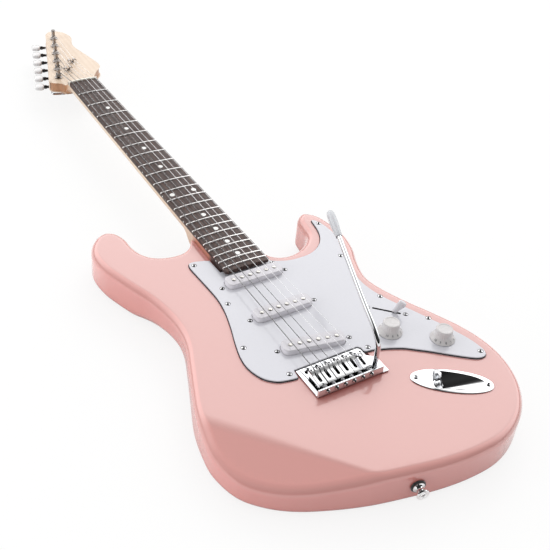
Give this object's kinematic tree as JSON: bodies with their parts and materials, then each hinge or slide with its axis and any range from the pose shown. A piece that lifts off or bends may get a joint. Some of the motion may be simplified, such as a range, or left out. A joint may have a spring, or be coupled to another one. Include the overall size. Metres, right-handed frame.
{
  "type": "electric guitar",
  "caption": "Full-size solid-body electric guitar with a bolt-on neck, single-coil pickups, a spring tremolo bridge with arm, control knobs, a blade selector and inline tuners.",
  "frame": {"origin": "centre of the neck plate's outer face, on the plane the plate and the rear cover share", "axes": "+Z out of the guitar's face, +Y along the strings towards the headstock, +X towards the treble side"},
  "size_m": [0.3321, 0.9955, 0.1251],
  "materials": {
    "pink_lacquer": "gloss pastel pink lacquer over a solid wood body",
    "maple": "satin-lacquered pale maple",
    "rosewood": "oiled dark rosewood",
    "nut_plastic": "matt ivory plastic",
    "chrome": "polished chrome plate",
    "steel": "plain steel",
    "string_steel": "nickel-plated steel wire",
    "pole_steel": "ground steel pole pieces",
    "white_plastic": "gloss white plastic",
    "black_felt": "black felt strap washers",
    "black_plastic": "black plastic middle ply and shafts"
  },
  "bodies": {
    "root": {"body": "pink_lacquer", "neck": "maple", "fingerboard": "rosewood", "nut": "nut_plastic", "neck_plate": "chrome", "back_cover": "white_plastic", "pickguard": "white_plastic", "pickup_cover_neck": "white_plastic", "pickup_cover_middle": "white_plastic", "pickup_cover_bridge": "white_plastic", "pickup_coil_neck": "pole_steel", "pickup_coil_middle": "pole_steel", "pickup_coil_bridge": "pole_steel", "volume_pot": "steel", "tone_pot": "steel", "selector_switch": "steel", "jack_plate": "chrome", "output_jack": "chrome", "end_strap_button": "chrome", "spring_claw": "steel", "tremolo_spring_1": "steel", "tremolo_spring_2": "steel", "tremolo_spring_3": "steel", "string_1": "string_steel", "string_2": "string_steel", "string_3": "string_steel", "string_4": "string_steel", "string_5": "string_steel", "string_6": "string_steel", "tuner_housing_1": "chrome", "tuner_housing_2": "chrome", "tuner_housing_3": "chrome", "tuner_housing_4": "chrome", "tuner_housing_5": "chrome", "tuner_housing_6": "chrome"},
    "bridge": {"bridge_plate": "chrome", "tremolo_block": "steel"},
    "arm": {"tremolo_arm": "chrome", "arm_tip": "white_plastic"},
    "volume_control": {"volume_knob": "white_plastic"},
    "tone_control": {"tone_knob": "white_plastic"},
    "selector": {"selector_lever": "white_plastic"},
    "string_saddle_1": {"saddle_1": "chrome"},
    "string_saddle_2": {"saddle_2": "chrome"},
    "string_saddle_3": {"saddle_3": "chrome"},
    "string_saddle_4": {"saddle_4": "chrome"},
    "string_saddle_5": {"saddle_5": "chrome"},
    "string_saddle_6": {"saddle_6": "chrome"},
    "peg_button_1": {"tuner_button_1": "chrome"},
    "peg_button_2": {"tuner_button_2": "chrome"},
    "peg_button_3": {"tuner_button_3": "chrome"},
    "peg_button_4": {"tuner_button_4": "chrome"},
    "peg_button_5": {"tuner_button_5": "chrome"},
    "peg_button_6": {"tuner_button_6": "chrome"},
    "peg_post_1": {"tuner_post_1": "chrome"},
    "peg_post_2": {"tuner_post_2": "chrome"},
    "peg_post_3": {"tuner_post_3": "chrome"},
    "peg_post_4": {"tuner_post_4": "chrome"},
    "peg_post_5": {"tuner_post_5": "chrome"},
    "peg_post_6": {"tuner_post_6": "chrome"}
  },
  "joints": [
    {"name": "tremolo_pivot", "type": "hinge", "parent": "root", "child": "bridge", "pos_m": [0, -0.2095, 0.0464], "axis": [-1, 0, 0], "range_deg": [0, 8], "stiffness_Nm_per_rad": 6, "deforming": ["string_1", "string_2", "string_3", "string_4", "string_5", "string_6", "tremolo_spring_1", "tremolo_spring_2", "tremolo_spring_3"]},
    {"name": "arm_swing", "type": "hinge", "parent": "bridge", "child": "arm", "pos_m": [0.038, -0.2375, 0.046], "axis": [0, 0, 1], "range_deg": [-165, 60]},
    {"name": "volume_turn", "type": "hinge", "parent": "root", "child": "volume_control", "pos_m": [0.0846, -0.2017, 0.0485], "axis": [0, 0, 1], "range_deg": [0, 270]},
    {"name": "tone_turn", "type": "hinge", "parent": "root", "child": "tone_control", "pos_m": [0.1292, -0.2352, 0.0485], "axis": [0, 0, 1], "range_deg": [0, 270]},
    {"name": "selector_throw", "type": "hinge", "parent": "root", "child": "selector", "pos_m": [0.1015, -0.173, 0.032], "axis": [0.6909, 0.7229, 0], "range_deg": [-52, 0]},
    {"name": "saddle_slide_1", "type": "slide", "parent": "bridge", "child": "string_saddle_1", "axis": [0, 1, 0], "range_m": [-0.003, 0.003]},
    {"name": "saddle_slide_2", "type": "slide", "parent": "bridge", "child": "string_saddle_2", "axis": [0, 1, 0], "range_m": [-0.003, 0.003]},
    {"name": "saddle_slide_3", "type": "slide", "parent": "bridge", "child": "string_saddle_3", "axis": [0, 1, 0], "range_m": [-0.003, 0.003]},
    {"name": "saddle_slide_4", "type": "slide", "parent": "bridge", "child": "string_saddle_4", "axis": [0, 1, 0], "range_m": [-0.003, 0.003]},
    {"name": "saddle_slide_5", "type": "slide", "parent": "bridge", "child": "string_saddle_5", "axis": [0, 1, 0], "range_m": [-0.003, 0.003]},
    {"name": "saddle_slide_6", "type": "slide", "parent": "bridge", "child": "string_saddle_6", "axis": [0, 1, 0], "range_m": [-0.003, 0.003]},
    {"name": "peg_turn_1", "type": "hinge", "parent": "root", "child": "peg_button_1", "pos_m": [-0.01903, 0.47524, 0.027], "axis": [-0.9517, 0.307, 0], "continuous": true},
    {"name": "post_turn_1", "type": "hinge", "parent": "root", "child": "peg_post_1", "pos_m": [-0.0213, 0.4682, 0.046], "axis": [0, 0, 1], "continuous": true},
    {"name": "peg_turn_2", "type": "hinge", "parent": "root", "child": "peg_button_2", "pos_m": [-0.01103, 0.50004, 0.027], "axis": [-0.9517, 0.307, 0], "continuous": true},
    {"name": "post_turn_2", "type": "hinge", "parent": "root", "child": "peg_post_2", "pos_m": [-0.0133, 0.493, 0.046], "axis": [0, 0, 1], "continuous": true},
    {"name": "peg_turn_3", "type": "hinge", "parent": "root", "child": "peg_button_3", "pos_m": [-0.00303, 0.52484, 0.027], "axis": [-0.9517, 0.307, 0], "continuous": true},
    {"name": "post_turn_3", "type": "hinge", "parent": "root", "child": "peg_post_3", "pos_m": [-0.0053, 0.5178, 0.046], "axis": [0, 0, 1], "continuous": true},
    {"name": "peg_turn_4", "type": "hinge", "parent": "root", "child": "peg_button_4", "pos_m": [0.00497, 0.54964, 0.027], "axis": [-0.9517, 0.307, 0], "continuous": true},
    {"name": "post_turn_4", "type": "hinge", "parent": "root", "child": "peg_post_4", "pos_m": [0.0027, 0.5426, 0.046], "axis": [0, 0, 1], "continuous": true},
    {"name": "peg_turn_5", "type": "hinge", "parent": "root", "child": "peg_button_5", "pos_m": [0.01297, 0.57444, 0.027], "axis": [-0.9517, 0.307, 0], "continuous": true},
    {"name": "post_turn_5", "type": "hinge", "parent": "root", "child": "peg_post_5", "pos_m": [0.0107, 0.5674, 0.046], "axis": [0, 0, 1], "continuous": true},
    {"name": "peg_turn_6", "type": "hinge", "parent": "root", "child": "peg_button_6", "pos_m": [0.02097, 0.59924, 0.027], "axis": [-0.9517, 0.307, 0], "continuous": true},
    {"name": "post_turn_6", "type": "hinge", "parent": "root", "child": "peg_post_6", "pos_m": [0.0187, 0.5922, 0.046], "axis": [0, 0, 1], "continuous": true}
  ],
  "couplings": [
    {"joint": "post_turn_1", "follows": "peg_turn_1", "ratio": -0.071429},
    {"joint": "post_turn_2", "follows": "peg_turn_2", "ratio": -0.071429},
    {"joint": "post_turn_3", "follows": "peg_turn_3", "ratio": -0.071429},
    {"joint": "post_turn_4", "follows": "peg_turn_4", "ratio": -0.071429},
    {"joint": "post_turn_5", "follows": "peg_turn_5", "ratio": -0.071429},
    {"joint": "post_turn_6", "follows": "peg_turn_6", "ratio": -0.071429}
  ]
}
